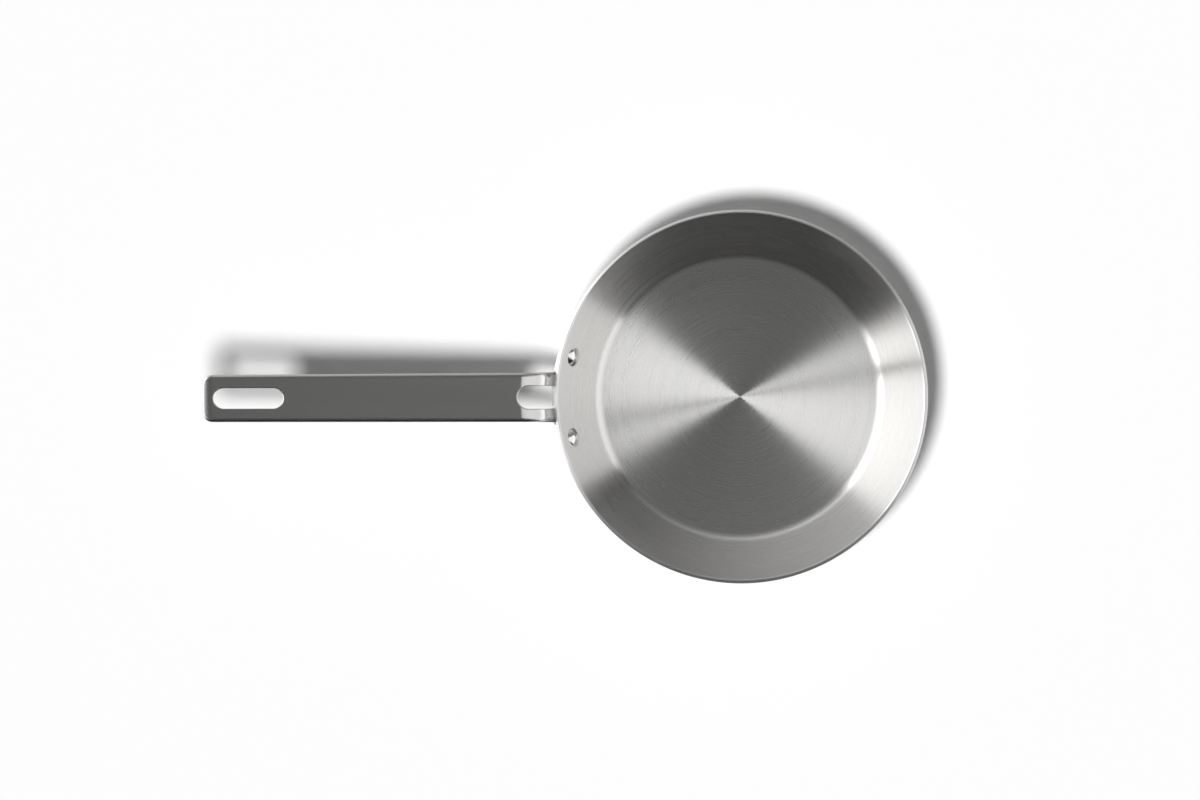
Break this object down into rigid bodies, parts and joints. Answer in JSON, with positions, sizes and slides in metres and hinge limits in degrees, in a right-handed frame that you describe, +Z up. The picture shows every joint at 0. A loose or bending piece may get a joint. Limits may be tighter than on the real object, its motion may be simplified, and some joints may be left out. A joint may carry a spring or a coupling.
{
  "type": "frying pan",
  "caption": "Shallow round frying pan of clad sheet with a conical wall, and a flat strap handle that forks into a riveted bracket and has a hanging slot.",
  "frame": {"origin": "centre of the pan's flat underside, on the pan's axis", "axes": "+Z up along the pan's axis, -X along the handle from the pan to its hanging slot, +Y to the left of someone who holds the handle and looks at the pan"},
  "size_m": [0.4638, 0.24, 0.0733],
  "materials": {
    "inner_skin": "spun in circles, satin",
    "core": "bare cut edge at the rim",
    "outer_skin": "spun in circles, satin",
    "handle": "brushed lengthwise, satin",
    "rivet_left": "polished",
    "rivet_right": "polished"
  },
  "bodies": {
    "root": {"inner_skin": "inner_skin", "core": "core", "outer_skin": "outer_skin", "handle": "handle", "rivet_left": "rivet_left", "rivet_right": "rivet_right"}
  },
  "joints": []
}
